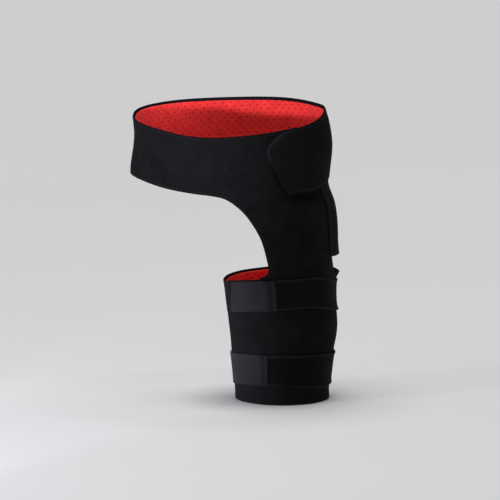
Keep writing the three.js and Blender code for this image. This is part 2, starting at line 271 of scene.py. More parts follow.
# Each thigh strap's middle line below the rim and its sink at the sides, as shares of the cuff's
# height, the angles where it ends under its hook tab and where the tab ends, the tab's lap, and how
# much further round its lower corner reaches
STRAPS = {"upper": (0.095, 0.06, -103, -147, 16, 7), "lower": (0.72, 0.04, -111, -186, 8, 0)}

# How far the red lining reaches towards the waist rim beyond its usual place, by angle, and how
# far it does so towards the cuff's rim
LINING_REACH = np.array([
    (-190, 1), (-165, 0.5), (-120, 1.5), (-40, 1.5), (0, 1), (40, 1.5), (75, 1.3), (110, 1.6),
    (150, 2.2), (170, 1.5),
])
CUFF_REACH = 1.6

# Distances from a cut edge at which a sheet has lines of points, the line of the stitches, the
# line where the lining begins, the share of its thickness that the cloth keeps at the edge, and
# the bells across a sewn edge
BORDER = np.array([0, 0.5, 1.4, 2.8, 4.0, 5.2])
STITCH_LINE = 4
LINING_LINE = 5
EDGE_SHARE = 0.3
SEWN_EDGE = ((-0.45, BORDER[STITCH_LINE], 0.9), (0.25, 7.5, 2.2), (0.2, 1.8, 1.2))

# The stitches, and the rings and sides of the capsule that each one is
STITCH_PITCH = 3.4
STITCH_LENGTH = 2.3
STITCH_RADIUS = 0.42
STITCH_PROUD = 0.1
RINGS = 5
SIDES = 6


def along(table, at, column=1):
    """Cubic between a table's rows, each row's slope taken from its two neighbours."""
    xs, ys = table[:, 0], table[:, column]
    row = np.arange(len(xs))
    before, after = np.maximum(row - 1, 0), np.minimum(row + 1, len(xs) - 1)
    slope = (ys[after] - ys[before]) / (xs[after] - xs[before])
    at = np.clip(at, xs[0], xs[-1])
    i = np.clip(np.searchsorted(xs, at) - 1, 0, len(xs) - 2)
    span = xs[i + 1] - xs[i]
    t = (at - xs[i]) / span
    step = t * t * (3 - 2 * t)
    curve = t * (1 - t) * span * ((1 - t) * slope[i] - t * slope[i + 1])
    return ys[i] + (ys[i + 1] - ys[i]) * step + curve


def smooth(x, low, high):
    """0 below low, 1 above high, and 3t^2 - 2t^3 between them."""
    t = np.clip((x - low) / (high - low), 0, 1)
    return t * t * (3 - 2 * t)


def lerp(a, b, t):
    """The straight line from a, where t is 0, to b, where it is 1."""
    return a + (b - a) * t


def bump_at(x, centre, width):
    """A bell curve of height 1: e to the minus ((x - centre) / width) squared."""
    return np.exp(-((x - centre) / width) ** 2)


def bells(x, rows):
    """The sum of the bell curves in rows of size, centre and width."""
    return sum(size * bump_at(x, centre, width) for size, centre, width in rows)


def spot(angle, z, row):
    """A bell over angle and height: the product of a bell curve over each."""
    size, at, wide, height, tall = row
    return size * bump_at(angle, at, wide) * bump_at(z, height, tall)


def along_edge(angle, inward, row):
    """Relief at an edge: a bell curve along it that fades out over its reach into the cloth."""
    size, at, wide, reach = row
    return size * bump_at(angle, at, wide) * (1 - smooth(inward, 0, reach))


def section(z):
    """Centre and half axes of the body's ellipse at a height."""
    level = np.where(z > -HIP_DROP, -z / HIP_DROP, 1 - (z + HIP_DROP) / CUFF_HEIGHT)
    to_thigh = along(SECTIONS, level, 1)
    centre = THIGH_SHIFT * (to_thigh + along(SECTIONS, level, 2))
    half_width = lerp(WAIST_WIDTH, THIGH_WIDTH, to_thigh) / 2 * along(SECTIONS, level, 3)
    half_depth = lerp(WAIST_DEPTH, THIGH_DEPTH, to_thigh) / 2 * along(SECTIONS, level, 4)
    return centre, half_width, half_depth


def drape(angle, z):
    """How far the worn cloth stands off the smooth body: broad soft waves, a fold below the
    belt's tip, slack between the straps and above the hem, a bulge at the belt's unbraced end,
    and a rim that leans out at the back by a power of the nearness to it. Every layer follows
    it, so they stay apart."""
    a = np.radians(angle)
    out = spot(angle, z - rear_edge(angle), TIP_FOLD)
    for depth, around, rise, phase, fading in WAVES:
        out = out + depth * np.sin(around * a + z / rise + phase) * np.cos(z / fading)
    for row in (RIDGE, BELT_WAVE, GROIN_PULL):
        out = out + spot(angle, z, row)
    unbraced = ((1 - np.cos(a)) / 2) ** END_BULGE_CURVE
    out = out + END_BULGE * unbraced * smooth(z, *END_BULGE_UP)
    rim_near = np.clip(1 - (waist_rim(angle) - z) / RIM_LEAN_DEPTH, 0, 1)
    out = out + RIM_LEAN * rim_near**RIM_LEAN_CURVE * smooth(np.sin(a), *LEAN_TURN)
    between_straps = bump_at(z, SLACK_MIDDLE, SLACK_WIDTH) * (1 + 0.5 * np.sin(5 * a + 0.4))
    return out + SLACK * (between_straps + smooth(-z, *SLACK_DOWN))


def on_body(angle, z, out):
    """Points of the body's section at a height, moved out by a distance square to the ellipse."""
    centre, half_width, half_depth = section(z)
    across, back = np.cos(np.radians(angle)), np.sin(np.radians(angle))
    nx, ny = across / half_width, back / half_depth
    long = np.hypot(nx, ny)
    out = out + drape(angle, z)
    x = centre + half_width * across + out * nx / long
    y = half_depth * back + out * ny / long
    return np.stack([x, y, z + 0 * x], -1)


def arc(angle, z):
    """Length round the section from the front, as an ellipse's arc summed in one-degree steps,
    between those of a flat ellipse and of a circle."""
    first, last, front, flattest = -330, 210, -90, 0.7
    degrees = np.arange(first, last + 1)
    steps = np.radians(degrees)
    lengths = []
    for flat in (flattest, 1.0):
        speed = np.hypot(np.sin(steps), flat * np.cos(steps))
        total = np.cumsum(speed) * np.radians(1)
        lengths.append(np.interp(angle, degrees, total - total[front - first]))
    _, half_width, half_depth = section(z)
    share = (half_depth / half_width - flattest) / (1 - flattest)
    return half_width * lerp(lengths[0], lengths[1], share)


def waist_sweep(length):
    """Degrees that a length takes round the waist."""
    return np.degrees(length / (WAIST_WIDTH / 2))


def thigh_sweep(length):
    """Degrees that a length takes round the thigh."""
    return np.degrees(length / (THIGH_WIDTH / 2))


REAR_SEAM = 360 + BELT_SEAM - waist_sweep(BOND_GAP)


def waist_rim(angle):
    """Height of the waist rim."""
    return BELT_HEIGHT * along(WAIST_RIM, angle)


def rear_edge(angle):
    """Height of the rear belt's lower edge."""
    return BELT_HEIGHT * along(REAR_EDGE, angle)


def front_edge(angle):
    """Height of the front belt's lower edge."""
    return BELT_HEIGHT * along(FRONT_EDGE, angle)


def cuff_rim(angle):
    """Height of the cuff's rim."""
    return -HIP_DROP + CUFF_HEIGHT * along(CUFF_RIM, angle)


def groin_edge(z):
    """Angle of the groin edge at a height."""
    x = WAIST_WIDTH / 2 * along(GROIN_EDGE, -z / HIP_DROP)
    centre, half_width, _ = section(z)
    return -np.degrees(np.arccos((x - centre) / (half_width + LAMINATE)))


def spaced(start, end, unit, count, at_start=True, at_end=True):
    """Lines from start to end: close together in the border of a cut edge, and even between."""
    start, end = np.broadcast_arrays(np.asarray(start, float), np.asarray(end, float))
    shape = (-1,) + (1,) * start.ndim
    border = np.multiply.outer(BORDER, unit + 0 * start)
    head = start + border if at_start else start[None]
    tail = (end - border)[::-1] if at_end else end[None]
    between = 2 * len(BORDER) + count - len(head) - len(tail)
    t = (np.arange(1, between + 1) / (between + 1)).reshape(shape)
    return np.concatenate([head, lerp(head[-1], tail[0], t), tail])


def spreading(share, *lines, **sides):
    """A blend of two sets of lines: close in the border at share 0, as the sides ask at 1."""
    return lerp(spaced(*lines), spaced(*lines, **sides), share)


class Sheet:
    """A cloth piece: angles and heights on a grid whose rows run round the body and whose columns
    run down it. A cell with a missing corner is left out, so the grid may be stepped."""

    def __init__(self, angle, z, quads=None):
        self.angle, self.z = angle, z
        ids = np.arange(angle.size).reshape(angle.shape)
        if quads is None:
            there = ~np.isnan(angle)
            whole = there[:-1, :-1] & there[1:, :-1] & there[1:, 1:] & there[:-1, 1:]
            corners = [ids[:-1, :-1], ids[1:, :-1], ids[1:, 1:], ids[:-1, 1:]]
            quads = np.stack(corners, -1)[whole]
        self.quads = quads

    def rim(self):
        """Edges of one quad only, each as its first and last point."""
        edges = np.stack([self.quads, np.roll(self.quads, -1, 1)], -1).reshape(-1, 2)
        size = self.angle.size
        forth, back = edges @ [size, 1], edges @ [1, size]
        return edges[~np.isin(forth, back)]

    def rim_loop(self):
        """The rim's points in order. Each point learns its distance from the loop's end by
        doubling the reach of its pointer again and again."""
        edges = self.rim()
        follow = np.arange(self.angle.size)
        follow[edges[:, 0]] = edges[:, 1]
        last = edges[edges[:, 1] == edges[0, 0], 0][0]
        follow[last] = last
        steps = np.where(np.arange(follow.size) == follow, 0, 1)
        for _ in range(int(np.ceil(np.log2(len(edges)))) + 1):
            steps = steps + steps[follow]
            follow = follow[follow]
        points = edges[:, 0]
        return points[np.argsort(-steps[points])]

    def inside(self, lines, low=-np.inf, high=np.inf, seam=None):
        """The sheet without its outermost lines of points, between two angles. It runs on to an
        edge at the seam's angle."""
        part = Sheet(self.angle, self.z, self.quads)
        sewn = self.angle.ravel() == seam
        for _ in range(lines):
            outer = np.zeros(self.angle.size, bool)
            rim = part.rim()
            outer[rim[~sewn[rim].all(1)].ravel()] = True
            part.quads = part.quads[~outer[part.quads].any(1)]
        angles = self.angle.ravel()[part.quads]
        part.quads = part.quads[((angles >= low) & (angles <= high)).all(1)]
        return part

    def edge_distance(self):
        """Distance of each point from the nearest rim edge, as the distance to a segment."""
        used = np.unique(self.quads)
        angle, z = self.angle.ravel(), self.z.ravel()
        place = on_body(angle, z, 0 * z)
        rim = self.rim()
        a, b = place[rim[:, 0]], place[rim[:, 1]]
        way = b - a
        p = place[used][:, None]
        t = np.clip(((p - a) * way).sum(-1) / (way * way).sum(-1), 0, 1)
        near = np.linalg.norm(p - a - t[..., None] * way, axis=-1).min(1)
        distance = np.zeros(angle.size)
        distance[used] = near
        return distance


def main_sheet():
    """The main panel's cut: the front of the belt, the hip panel, and the cuff that runs on to
    both sides of it. The rows follow the edges, lerped between them, and lines that are close
    along the groin edge spread out where they cross the panel."""
    belt_count, hip_count, cuff_count = 10, 16, 23
    belt_left_count, middle_count, cuff_left_count, cuff_right_count = 18, 26, 58, 22
    spread_start, spread_end, spread_reach = 2, 30, 25
    waist_mm, thigh_mm = waist_sweep(1), thigh_sweep(1)
    corner_top, corner_low = front_edge(GROIN_TOP), cuff_rim(GROIN_BOTTOM)

    down = np.linspace(0, 1, hip_count)
    edge_z = lerp(corner_top, corner_low, down)
    left = groin_edge(edge_z)
    right = lerp(PANEL_BACK_TOP, PANEL_BACK_BOTTOM, down)
    unit = lerp(waist_mm, thigh_mm, down)
    hip_angle = spaced(left, right, unit, middle_count).T
    share = (edge_z - front_edge(left)) / (cuff_rim(left) - front_edge(left))
    away = smooth(np.arange(hip_angle.shape[1]) / hip_angle.shape[1], 0, 0.5)
    fall = lerp(share[:, None], down[:, None], away)
    hip_z = lerp(front_edge(hip_angle), cuff_rim(hip_angle), fall)

    belt_left = spaced(BELT_SEAM, left[0], waist_mm, belt_left_count, at_end=False)[:-1]
    cuff_left = spaced(CUFF_OUTER_END, left[-1], thigh_mm, cuff_left_count, at_end=False)[:-1]
    cuff_right = spaced(right[-1], CUFF_INNER_END, thigh_mm, cuff_right_count, at_start=False)[1:]

    rise = spaced(BELT_HEIGHT, 0, -1, belt_count)
    share = smooth(rise, spread_start, spread_end)[:, None]
    belt_middle = spreading(share, left[0], right[0], waist_mm, middle_count, at_start=False)
    belt_angle = np.hstack([np.tile(belt_left, (len(rise), 1)), belt_middle])
    belt_angle[-1, len(belt_left):] = hip_angle[0]
    top = waist_rim(belt_angle[0]) - CORNER_DIP * smooth(belt_angle[0], *CORNER_DIP_TURN)
    low = front_edge(belt_angle[-1])
    share = smooth(belt_angle, GROIN_TOP, GROIN_TOP + waist_sweep(spread_reach))
    belt_z = spreading(share, top, low, -1, belt_count, at_end=False)

    fallen = spaced(0, CUFF_HEIGHT, 1, cuff_count)
    share = smooth(fallen, spread_start, spread_end)[:, None]
    line = left[-1], right[-1], thigh_mm, middle_count
    cuff_middle = spreading(share, *line, at_start=False, at_end=False)
    rows = len(fallen), 1
    cuff_angle = np.hstack([np.tile(cuff_left, rows), cuff_middle, np.tile(cuff_right, rows)])
    hem = np.full(cuff_angle.shape[1], float(-HIP_DROP - CUFF_HEIGHT))
    reach = thigh_sweep(spread_reach)
    share = smooth(cuff_angle, GROIN_BOTTOM, GROIN_BOTTOM + reach)
    share = share * smooth(-cuff_angle, -PANEL_BACK_BOTTOM, -PANEL_BACK_BOTTOM + reach)
    cuff_z = spreading(share, cuff_rim(cuff_angle[0]), hem, -1, cuff_count, at_start=False)

    width = cuff_angle.shape[1]
    start = len(cuff_left) - len(belt_left)
    end = len(cuff_left) + cuff_middle.shape[1]
    belt_rows, hip_rows = len(rise), hip_count - 2
    angle = np.full((belt_rows + hip_rows + len(fallen), width), np.nan)
    z = angle.copy()
    angle[:belt_rows, start:end], z[:belt_rows, start:end] = belt_angle, belt_z
    hip = slice(belt_rows, belt_rows + hip_rows), slice(len(cuff_left), end)
    angle[hip], z[hip] = hip_angle[1:-1], hip_z[1:-1]
    angle[belt_rows + hip_rows:], z[belt_rows + hip_rows:] = cuff_angle, cuff_z
    return Sheet(angle, z)


def main_lift(angle, z):
    """The cuff's outer end climbs onto its inner end, and the rim behind the hip stands off."""
    overlap = PLY * smooth(-angle, -RAMP_START, RAMP_SWEEP - RAMP_START)
    rim_near = np.clip(1 - (cuff_rim(angle) - z) / RIM_FLARE_DEPTH, 0, 1)
    loose = smooth(angle, PANEL_BACK_BOTTOM, LOOSE_FULL)
    loose = loose * (1 - smooth(angle, LOOSE_END / 2, LOOSE_END))
    return (z < CUFF_START) * (overlap + RIM_FLARE * smooth(rim_near, 0, RIM_FLARE_FULL) * loose)


def tip_recess(down):
    """How far the belt's tip draws back: a quarter ellipse above its fullest point, a power curve
    below it."""
    up = np.clip(1 - down / TIP_FULLEST, 0, 1)
    under = np.clip((down - TIP_FULLEST) / (1 - TIP_FULLEST), 0, 1)
    return TIP_ROUND * (1 - np.sqrt(1 - up**2)) + TIP_SLANT * under**TIP_CURVE


def tip_front(down):
    """Angle of the tip's front edge at a share of the way down the belt."""
    return TIP_FRONT + waist_sweep(tip_recess(down))


def rear_sheet():
    """The rear belt from its rounded tip over the hip panel and round the back to the seam, with
    its rows lerped between the rim and the lower edge."""
    row_count, column_count = 10, 60
    down = spaced(0, BELT_HEIGHT, 1, row_count) / BELT_HEIGHT
    seam = np.full(len(down), REAR_SEAM)
    angle = spaced(tip_front(down), seam, waist_sweep(1), column_count).T
    return Sheet(angle, lerp(waist_rim(angle), rear_edge(angle), down[:, None]))


def rear_lift(angle):
    """The rear belt climbs onto the main panel where it closes."""
    return PLY * (1 - smooth(angle, PANEL_BACK_TOP + COLUMN_STEP, PANEL_BACK_TOP + RAMP_SWEEP))


def tip_pressed(angle, z):
    """1 along the tip's lower front edge, and 0 a little behind it and above its middle."""
    down = np.clip((waist_rim(angle) - z) / BELT_HEIGHT, 0, 1)
    back = smooth(angle - tip_front(down), *TIP_PRESSED_BACK)
    return (1 - back) * smooth(-z, *TIP_PRESSED_DOWN)


def tip_lift(angle, z):
    """The rear belt's lift. The tip is pressed down along its lower front edge, its lower edge
    stands off behind that, and the rim leans in at the right end."""
    open_edge = along_edge(angle, z - rear_edge(angle), TIP_OPEN)
    lean = along_edge(angle, waist_rim(angle) - z, TIP_LEAN)
    return rear_lift(angle) + open_edge + lean - TIP_PRESSED * tip_pressed(angle, z)


def wing_front(down):
    """Angle of the wing's front edge at a share of the way down it."""
    return lerp(WING_FRONT_TOP, WING_FRONT_BOTTOM, down)


def wing_sheet():
    """The wing, its rows lerped between the rear belt's lower edge, into which the seam draws it,
    and its own level edge."""
    row_count, column_count = 12, 18
    low = rear_edge(0.0) - WING_DROP
    down = spaced(0, WING_DROP, 1, row_count) / WING_DROP
    back = np.full(len(down), float(WING_BACK))
    angle = spaced(wing_front(down), back, waist_sweep(1), column_count).T
    return Sheet(angle, lerp(rear_edge(angle) + WING_SEAM, low, down[:, None]))


def wing_lift(angle, z):
    """The wing is pressed to the hip along its front edge, and behind that it stands off more
    and more towards its lower edge."""
    down = np.clip((rear_edge(angle) - z) / WING_DROP, 0, 1)
    flare = WING_FLARE * down**WING_FLARE_CURVE * smooth(angle, WING_FRONT_BOTTOM, 0)
    pressed = WING_PRESSED * (1 - smooth(angle - wing_front(down), *WING_PRESSED_BACK))
    return rear_lift(angle) + WING_STANDOFF + flare - pressed


def strap_middle(angle, height, sink):
    """Height of a strap's middle line: it sinks by the squared cosine from front to sides."""
    forward = np.minimum(0, np.sin(np.radians(angle)))
    return -HIP_DROP - CUFF_HEIGHT * (height + sink * (1 - forward**2))


def band_sheet(start, end, column_count, edges, height, sink, slant=0):
    """A band of elastic round the thigh between two angles, its rows lerped between its edges.
    Its start may slant, and a table says how far its edges are drawn up."""
    row_count = 4
    down = spaced(0, STRAP_WIDTH, 1, row_count) / STRAP_WIDTH
    angle = spaced(start - slant * down, np.full(len(down), end), thigh_sweep(1), column_count).T
    middle = strap_middle(angle, height, sink)
    top = middle + STRAP_WIDTH / 2 + along(edges, angle, 1)
    low = middle - STRAP_WIDTH / 2 + along(edges, angle, 2)
    return Sheet(angle, lerp(top, low, down[:, None]))


def strap_lift(angle, z):
    """A strap lies on the cuff and climbs onto the cuff's outer end, where it is sewn."""
    end = 360 + CUFF_OUTER_END
    return LAMINATE + STRAP_GAP + PLY * smooth(angle, end - RAMP_SWEEP, end)


def new_object(name, verts, faces, uv=None, tone=None):
    """A mesh object at the origin from points in millimetres, shaded smooth, with a UV map in
    decimetres of cloth and, where it is given, a tone of painted light and shade for each point."""
    mesh = bpy.data.meshes.new(name)
    mesh.from_pydata((verts * MM).tolist(), [], faces.tolist())
    if uv is not None:
        layer = mesh.uv_layers.new(name="cloth")
        corner = np.empty(len(mesh.loops), np.int32)
        mesh.loops.foreach_get("vertex_index", corner)
        layer.data.foreach_set("uv", (uv[corner] / 100).astype(np.float32).ravel())
    if tone is not None:
        layer = mesh.attributes.new("tone", "FLOAT", "POINT")
        layer.data.foreach_set("value", tone.astype(np.float32))
    mesh.shade_smooth()
    mesh.update()
    piece = bpy.data.objects.new(name, mesh)
    bpy.context.collection.objects.link(piece)
    return piece


def cloth(name, sheet, lift, inner, outer, relief=None, tone=None):
    """A closed cloth from a sheet: its two faces draw together at the cut edge in a half round,
    relief(distance, angle, z) shapes the outer face, and the rim is walled. tone(distance, angle,
    z) is what its material reads as the point's tone, which carries painted light and shade."""
    used, place = np.unique(sheet.quads, return_inverse=True)
    quads = place.reshape(sheet.quads.shape)
    angle, z = sheet.angle.ravel()[used], sheet.z.ravel()[used]
    distance = sheet.edge_distance()[used]
    half = (outer - inner) / 2
    near = np.clip(distance / half, 0, 1)
    fill = np.maximum(np.sqrt(1 - (1 - near) ** 2), EDGE_SHARE) * half
    raised = lift(angle, z) + (outer + inner) / 2
    shape = relief(distance, angle, z) if relief else 0
    outside = on_body(angle, z, raised + fill + shape * near)
    inside = on_body(angle, z, raised - fill)
    rim = np.searchsorted(used, sheet.rim())
    count = len(used)
    wall = np.stack([rim[:, 1], rim[:, 0], rim[:, 0] + count, rim[:, 1] + count], -1)
    faces = np.concatenate([quads, quads[:, [0, 3, 2, 1]] + count, wall])
    uv = np.stack([arc(angle, np.minimum(z, 0)), z], -1)
    shade = None if tone is None else np.tile(tone(distance, angle, z), 2)
    points = np.concatenate([outside, inside])
    piece = new_object(name, points, faces, np.concatenate([uv, uv]), shade)
    soft = piece.modifiers.new("soft", "SUBSURF")
    soft.levels = soft.render_levels = 1
    soft.uv_smooth = "NONE"
    return piece


def sewn_edge(distance, angle, z):
    """Relief of a sewn edge: two low rounds and the drawn-in stitch line, calmer at the rim."""
    calm = RIM_CALM * smooth(z - waist_rim(angle), *CALM_TO_RIM)
    return bells(distance, SEWN_EDGE) * (1 - calm)


def rim_roll(angle, z):
    """How far the loose rim behind the hip is rolled out: a bell down it and round it."""
    return spot(angle, z - cuff_rim(angle), RIM_ROLL)


def panel_edge(distance, angle, z):
    """The main panel's sewn edge plus the loose rim's roll."""
    return sewn_edge(distance, angle, z) + rim_roll(angle, z)


def wing_edge(distance, angle, z):
    """The wing's sewn edge, calmed and thinned along its front."""
    down = np.clip((rear_edge(angle) - z) / WING_DROP, 0, 1)
    flat = 1 - smooth(angle - wing_front(down), *WING_THINNED_BACK)
    return sewn_edge(distance, angle, z) * (1 - WING_CALM * flat) - WING_THINNED * flat


def tip_edge(distance, angle, z):
    """The rear belt's sewn edge, thinned where the tip is pressed, and the roll under the tip."""
    roll = bells(z - rear_edge(angle), TIP_ROLL)
    roll = roll * smooth(angle, *ROLL_START_TURN) * (1 - smooth(angle, *ROLL_END_TURN))
    return sewn_edge(distance, angle, z) + roll - TIP_THINNED * tip_pressed(angle, z)


def selvedge(distance, angle, z):
    """Relief of the elastic: raised long edges and a middle that dips."""
    return bells(distance, SELVEDGE) - SELVEDGE_DIP * smooth(distance, *SELVEDGE_DIP_IN)


def selvedge_highlight(distance, angle, z):
    """Painted highlight along the elastic's edges."""
    return bells(distance, SELVEDGE_HIGHLIGHT)


def tip_light_and_shade(distance, angle, z):
    """Painted light and shade on the tip: a painted highlight round the front of its edge and on its
    lower edge's roll, and painted shade along its lower front and at its lower corner."""
    corner_angle, corner_width, roll_angle, roll_width, lower_edge = -45, 5, -30, 7, -40
    light = bells(distance, TIP_HIGHLIGHT) * smooth(z, *TIP_HIGHLIGHT_UP)
    dark = (1 - smooth(distance, *TIP_DARK_IN)) * smooth(-z, *TIP_DARK_DOWN)
    roll = bells(distance, ROLL_HIGHLIGHT) * bump_at(angle, roll_angle, roll_width)
    corner = CORNER_PAINTED_SHADE * (1 - smooth(distance, *CORNER_DARK_IN))
    corner = corner * bump_at(angle, corner_angle, corner_width)
    front = 1 - smooth(angle, *TIP_FRONT_TURN)
    return front * (light - dark) + (roll + corner) * (z < lower_edge)


def panel_light_and_shade(distance, angle, z):
    """Painted shadow in the fold below the belt's tip, and painted light along the hem."""
    return HEM_PAINTED_LIGHT * smooth(-z, *HEM_DOWN) + spot(angle, z - rear_edge(angle), FOLD_PAINTED_SHADOW)


def wing_painted_light(distance, angle, z):
    """Painted light: lighter than the panel, most of all along its front edge."""
    return WING_PAINTED_LIGHT + bells(distance, WING_EDGE_HIGHLIGHT) * (angle < 0)


def stitch_row(name, places, normals):
    """Stitches along a closed line: each is a short capsule, its radius an ellipse's along its
    length, laid along the line and half sunk in the cloth."""
    places, normals = np.vstack([places, places[:1]]), np.vstack([normals, normals[:1]])
    run = np.r_[0, np.cumsum(np.linalg.norm(np.diff(places, axis=0), axis=1))]
    count = int(run[-1] / STITCH_PITCH)
    at = (np.arange(count) + 0.5) * run[-1] / count

    def sample(values, where):
        return np.stack([np.interp(where, run, values[:, k]) for k in range(3)], -1)

    middle = sample(places, at)
    tangent = sample(places, at + 0.6) - sample(places, at - 0.6)
    tangent /= np.linalg.norm(tangent, axis=1, keepdims=True)
    normal = sample(normals, at)
    side = np.cross(normal, tangent)
    side /= np.linalg.norm(side, axis=1, keepdims=True)
    normal = np.cross(tangent, side)
    turns = np.arange(SIDES) * 2 * np.pi / SIDES
    ring, turn = np.meshgrid(np.linspace(-1, 1, RINGS), turns, indexing="ij")
    ring, turn = ring.ravel(), turn.ravel()
    girth = STITCH_RADIUS * np.sqrt(np.clip(1.05 - ring**2, 0, 1))
    offset = (
        tangent[:, None] * (ring * STITCH_LENGTH / 2)[:, None]
        + side[:, None] * (girth * np.cos(turn))[:, None]
        + normal[:, None] * (girth * np.sin(turn) + STITCH_PROUD)[:, None]
    )
    verts = (middle[:, None] + offset).reshape(-1, 3)
    here = np.arange((RINGS - 1) * SIDES)
    beside = here + np.where(here % SIDES == SIDES - 1, 1 - SIDES, 1)
    body = np.stack([beside, beside + SIDES, here + SIDES, here], -1)
    start_cap = np.array([[0, 3, 4, 5], [0, 1, 2, 3]])
    end_cap = (RINGS - 1) * SIDES + np.array([[3, 2, 1, 0], [5, 4, 3, 0]])
    one = np.concatenate([body, start_cap, end_cap])
    faces = (one[None] + RINGS * SIDES * np.arange(count)[:, None, None]).reshape(-1, 4)
    return new_object(name, verts, faces)


def edge_stitches(name, sheet, lift, relief):
    """A row of stitches along the sewn edge, on the shell's outer face with its relief."""
    loop = sheet.inside(STITCH_LINE).rim_loop()
    angle, z = sheet.angle.ravel()[loop], sheet.z.ravel()[loop]
    raised = lift(angle, z) + LAMINATE + relief(BORDER[STITCH_LINE], angle, z)
    base = on_body(angle, z, raised)
    return stitch_row(name, base, on_body(angle, z, raised + 1) - base)


class Value:
    """A shader socket that takes part in Python expressions on numbers."""

    def __init__(self, finish, socket):
        self.finish, self.socket = finish, socket

    def math(self, operation, *values, clamp=False):
        settings = {"operation": operation, "use_clamp": clamp}
        return self.finish.node("ShaderNodeMath", settings, dict(enumerate(values)))

    def __add__(self, other):
        return self.math("ADD", self, other)

    def __sub__(self, other):
        return self.math("SUBTRACT", self, other)

    def __rsub__(self, other):
        return self.math("SUBTRACT", other, self)

    def __mul__(self, other):
        return self.math("MULTIPLY", self, other)

    __radd__ = __add__
    __rmul__ = __mul__

    def itself(self, operation):
        """A math operation on this value alone."""
        return self.math(operation, self)

    def between(self, low, high):
        """0 at low and 1 at high, clamped."""
        return self.math("MULTIPLY_ADD", self, 1 / (high - low), -low / (high - low), clamp=True)


class Finish:
    """A material: a Principled shader and the nodes that feed it."""

    def __init__(self, name, **constants):
        self.material = bpy.data.materials.new(name)
        self.material.use_nodes = True
        self.tree = self.material.node_tree
        self.shader = self.tree.nodes["Principled BSDF"]
        for socket, value in constants.items():
            self.shader.inputs[socket.replace("_", " ")].default_value = value

    def node(self, kind, settings=(), inputs=(), output=0):
        """A node of a type, with its settings made first and then its sockets filled."""
        node = self.tree.nodes.new(kind)
        for key, value in dict(settings).items():
            setattr(node, key, value)
        for key, value in dict(inputs).items():
            if isinstance(value, Value):
                self.tree.links.new(value.socket, node.inputs[key])
            else:
                node.inputs[key].default_value = value
        return Value(self, node.outputs[output])

    def feed(self, **links):
        """Links values to the shader's sockets."""
        for socket, value in links.items():
            self.tree.links.new(value.socket, self.shader.inputs[socket.replace("_", " ")])

    def place(self, kind="Object"):
        """The place of a point in its object, or in its UV map."""
        return self.node("ShaderNodeTexCoord", output=kind)

    def tone(self):
        """The tone that the mesh gives a point, which carries painted light and shade."""
        return self.node("ShaderNodeAttribute", {"attribute_name": "tone"}, output="Fac")

    def noise(self, place, scale, detail=2.0, roughness=0.5):
        inputs = {"Vector": place, "Scale": scale, "Detail": detail, "Roughness": roughness}
        return self.node("ShaderNodeTexNoise", {}, inputs)

    def cells(self, place, scale):
        return self.node("ShaderNodeTexVoronoi", {}, {"Vector": place, "Scale": scale})

    def cloth_parts(self):
        """Decimetres across and down the cloth, from its UV map."""
        split = self.node("ShaderNodeSeparateXYZ", {}, {0: self.place("UV")}).socket.node
        return [Value(self, out) for out in split.outputs[:2]]

    def blend(self, share, first, second):
        """The first colour where the share is 0 and the second where it is 1."""
        factor, colour_a, colour_b, colour_out = 0, 6, 7, 2
        inputs = {factor: share, colour_a: first, colour_b: second}
        return self.node("ShaderNodeMix", {"data_type": "RGBA"}, inputs, colour_out)

    def bump(self, height, distance, strength=1.0):
        inputs = {"Height": height, "Distance": distance, "Strength": strength}
        return self.node("ShaderNodeBump", {}, inputs)


def knit_face():
    """Black knit face on foam: mottled, with a fine loop grain and lint. Its tone lightens it
    above 0 with painted light and darkens it below with painted shade."""
    finish = Finish("black knit", Specular_IOR_Level=0.06)
    place = finish.place()
    mottle = finish.noise(place, scale=95, detail=3, roughness=0.62)
    broad = finish.noise(place, scale=30, detail=4, roughness=0.6)
    grain = finish.noise(place, scale=900, detail=2, roughness=0.6)
    loops = finish.cells(place, scale=1150)
    lint = finish.noise(place, scale=380, detail=1).between(0.65, 0.74)
    worn = mottle * 0.4 + broad * 0.45 + grain * 0.15
    deep, faded = (0.0036, 0.0036, 0.0040, 1), (0.0084, 0.0084, 0.0092, 1)
    cloth_colour = finish.blend(worn.between(0.36, 0.64), deep, faded)
    speckled = finish.blend(lint * 0.38, cloth_colour, (0.022, 0.022, 0.027, 1))
    # Painted light and shade: the tone lightens the knit with painted light and darkens it with
    # painted shade
    tone = finish.tone()
    lighter = finish.blend(tone, speckled, (0.03, 0.03, 0.032, 1))
    finish.feed(
        Base_Color=finish.blend(tone.between(0, -1), lighter, (0.0008, 0.0008, 0.0008, 1)),
        Roughness=0.7 + 0.25 * mottle,
        Normal=finish.bump(loops * 0.6 + grain * 0.5 + mottle * 0.9, 0.0004, 0.8),
    )
    return finish.material


